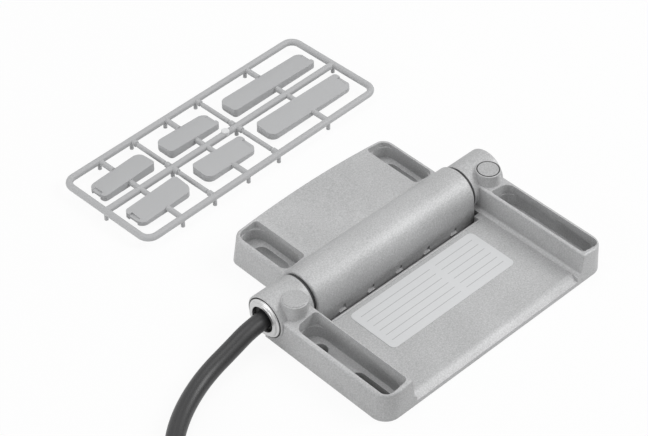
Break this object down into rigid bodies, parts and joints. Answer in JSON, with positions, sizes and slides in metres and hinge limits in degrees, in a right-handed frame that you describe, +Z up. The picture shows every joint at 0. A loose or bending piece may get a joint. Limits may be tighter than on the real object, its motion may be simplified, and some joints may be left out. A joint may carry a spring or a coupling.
{
  "type": "safety hinge switch",
  "caption": "Die-cast hinge for a machine guard with a switch in its barrel, a cable out of one end, and screw covers still on their moulding frame.",
  "frame": {"origin": "midway between the two round fixing holes of the switch leaf, on the face that it is screwed down on", "axes": "+X along the hinge axis away from the cable, +Y from the switch leaf towards the door leaf, +Z up out of the mounting face"},
  "size_m": [0.1861, 0.3081, 0.0268],
  "materials": {
    "cast_metal": "fine-grained silver-grey coating on a die casting",
    "label_foil": "matt silver foil, blank",
    "axle_steel": "ground steel",
    "plug_metal": "as the casting",
    "gland_metal": "turned, satin",
    "seal_rubber": "black sealing rubber",
    "bearing_plastic": "dark bearing plastic",
    "strip_plastic": "moulded grey plastic",
    "insert_plastic": "moulded switch plastic",
    "cam_plastic": "moulded red plastic",
    "contact_brass": "stamped brass",
    "spring_steel": "spring wire",
    "lead_insulation": "wire insulation",
    "cover_plastic": "moulded light grey plastic",
    "cable_jacket": "black cable jacket",
    "tie_plastic": "black cable tie",
    "ferrule_metal": "tinned sleeves"
  },
  "bodies": {
    "switch_leaf": {"switch_leaf": "cast_metal", "rating_label": "label_foil", "hollow_axle": "axle_steel", "stub_axle": "axle_steel", "axle_lock_pins": "axle_steel", "boss_plugs": "plug_metal", "gland_ring": "gland_metal", "cable_clamp": "gland_metal", "cable_seal": "seal_rubber", "contact_carrier": "insert_plastic", "carrier_lids": "insert_plastic", "fixed_contacts": "contact_brass", "nc_spring": "spring_steel", "no_spring": "spring_steel", "lead_wires": "lead_insulation", "cable_cores": "lead_insulation", "frame_long_runners": "cover_plastic", "frame_end_runners": "cover_plastic", "frame_corner_bends": "cover_plastic", "frame_middle_runner": "cover_plastic", "frame_cross_runners": "cover_plastic", "frame_gates": "cover_plastic", "frame_stubs": "cover_plastic", "long_cover_back": "cover_plastic", "long_cover_front": "cover_plastic", "short_cover_middle_back": "cover_plastic", "short_cover_middle_front": "cover_plastic", "short_cover_near_back": "cover_plastic", "short_cover_near_front": "cover_plastic", "cable_tube": "cable_jacket", "cable_coil": "cable_jacket", "cable_end": "cable_jacket", "cable_tie": "tie_plastic", "core_ferrules": "ferrule_metal"},
    "door_leaf": {"door_leaf": "cast_metal", "barrel_cover": "strip_plastic", "bearing_bushes": "bearing_plastic", "shaft_seals": "seal_rubber", "thrust_washers": "bearing_plastic", "nc_cam_ring": "cam_plastic", "no_cam_ring": "cam_plastic"},
    "nc_plunger": {"nc_plunger": "insert_plastic", "nc_contact_bridge": "contact_brass"},
    "no_plunger": {"no_plunger": "insert_plastic", "no_contact_bridge": "contact_brass"}
  },
  "joints": [
    {"name": "door_hinge", "type": "hinge", "parent": "switch_leaf", "child": "door_leaf", "pos_m": [0, 0.019, 0.0086], "axis": [1, 0, 0], "range_deg": [0, 175]},
    {"name": "nc_plunger_slide", "type": "slide", "parent": "switch_leaf", "child": "nc_plunger", "axis": [0, 0, 1], "range_m": [-0.00121, 0], "deforming": ["nc_spring"]},
    {"name": "no_plunger_slide", "type": "slide", "parent": "switch_leaf", "child": "no_plunger", "axis": [0, 0, 1], "range_m": [-0.00121, 0], "deforming": ["no_spring"]}
  ],
  "couplings": [
    {"joint": "nc_plunger_slide", "follows": "door_hinge", "m_per_rad": -0.00038197},
    {"joint": "no_plunger_slide", "follows": "door_hinge", "m_per_rad": -0.00038197}
  ]
}
